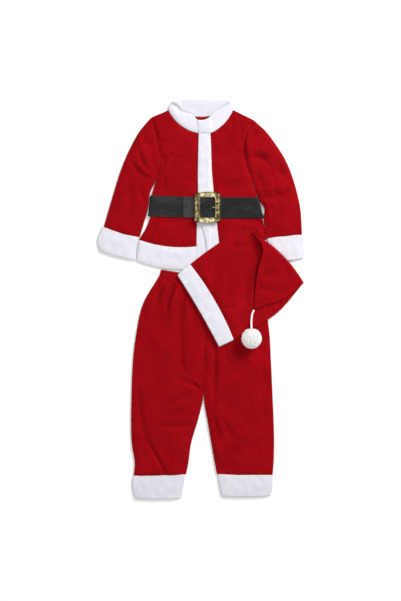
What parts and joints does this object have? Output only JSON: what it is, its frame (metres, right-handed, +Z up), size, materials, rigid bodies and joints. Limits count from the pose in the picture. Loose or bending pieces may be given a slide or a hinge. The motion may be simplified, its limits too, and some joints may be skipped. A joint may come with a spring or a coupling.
{
  "type": "santa suit, laid flat",
  "caption": "Child's red fleece jacket with white trim and buckled black belt, matching trousers, and a folded hat with a pompom, laid out flat.",
  "frame": {"origin": "centre of the laid-out set on the surface it rests on", "axes": "+X towards the wearer's left, +Y from the trouser cuffs to the jacket collar, +Z up from the surface"},
  "size_m": [0.597, 1.1547, 0.067],
  "materials": {
    "red_fleece": "brushed red polyester fleece with a soft nap",
    "white_fleece": "brushed white fleece trim",
    "black_strap": "black faux leather, satin, fine grain",
    "gold_buckle": "gold-coloured metal with hammered ornament",
    "white_yarn": "white yarn"
  },
  "bodies": {
    "root": {"jacket_back": "red_fleece", "jacket_front_right": "red_fleece", "jacket_front_left": "red_fleece", "sleeve_right": "red_fleece", "sleeve_left": "red_fleece", "sleeve_cuff_right": "white_fleece", "sleeve_cuff_left": "white_fleece", "collar": "white_fleece", "placket_under": "white_fleece", "placket_over": "white_fleece", "hem_front_right": "white_fleece", "hem_front_left": "white_fleece", "hem_back": "white_fleece", "belt_strap": "black_strap", "buckle_frame": "gold_buckle", "buckle_prong": "gold_buckle", "trouser_leg_right": "red_fleece", "trouser_leg_left": "red_fleece", "waistband": "red_fleece", "leg_cuff_right": "white_fleece", "leg_cuff_left": "white_fleece", "hat_body": "red_fleece", "hat_band": "white_fleece", "hat_cord": "white_yarn", "pompom": "white_yarn"}
  },
  "joints": []
}
